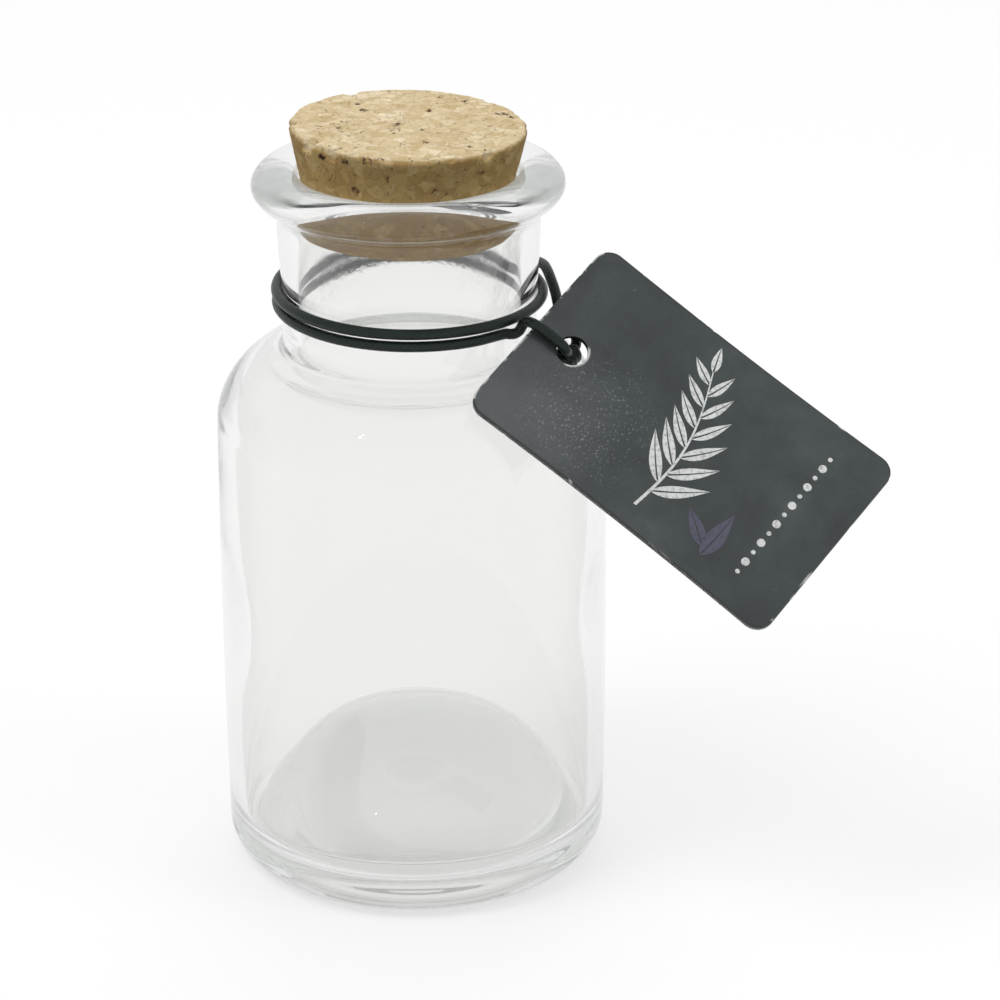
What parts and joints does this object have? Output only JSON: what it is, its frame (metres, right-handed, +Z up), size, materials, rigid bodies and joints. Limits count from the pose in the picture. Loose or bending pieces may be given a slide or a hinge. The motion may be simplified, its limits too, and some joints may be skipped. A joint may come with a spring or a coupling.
{
  "type": "glass jar with cork lid",
  "caption": "Clear glass storage jar with a tapered cork stopper, an elastic cord round its neck and a blank dark swing tag.",
  "frame": {"origin": "centre of the foot ring, on the surface that the jar stands on", "axes": "+Z up along the jar's axis, -Y towards the viewer, +X to the right, the side that the tag hangs on"},
  "size_m": [0.1171, 0.087, 0.1386],
  "materials": {
    "clear_glass": "clear, gloss",
    "cork_wood": "agglomerated cork, matte",
    "elastic_cord": "covered elastic, satin",
    "tag_board": "laminated, gloss"
  },
  "bodies": {
    "jar": {"jar": "clear_glass"},
    "cork": {"cork": "cork_wood"},
    "elastic": {"cord": "elastic_cord", "knot": "elastic_cord"},
    "tag": {"tag": "tag_board"}
  },
  "joints": [
    {"name": "cork_pull", "type": "slide", "parent": "jar", "child": "cork", "axis": [0, 0, 1], "range_m": [0, 0.03]},
    {"name": "elastic_turn", "type": "hinge", "parent": "jar", "child": "elastic", "pos_m": [0, 0, 0.1055], "axis": [0, 0, 1], "continuous": true},
    {"name": "tag_swing", "type": "hinge", "parent": "elastic", "child": "tag", "pos_m": [0.02775, -0.01921, 0.1026], "axis": [0.1216, -0.7016, 0.7022], "range_deg": [0, 30]}
  ]
}
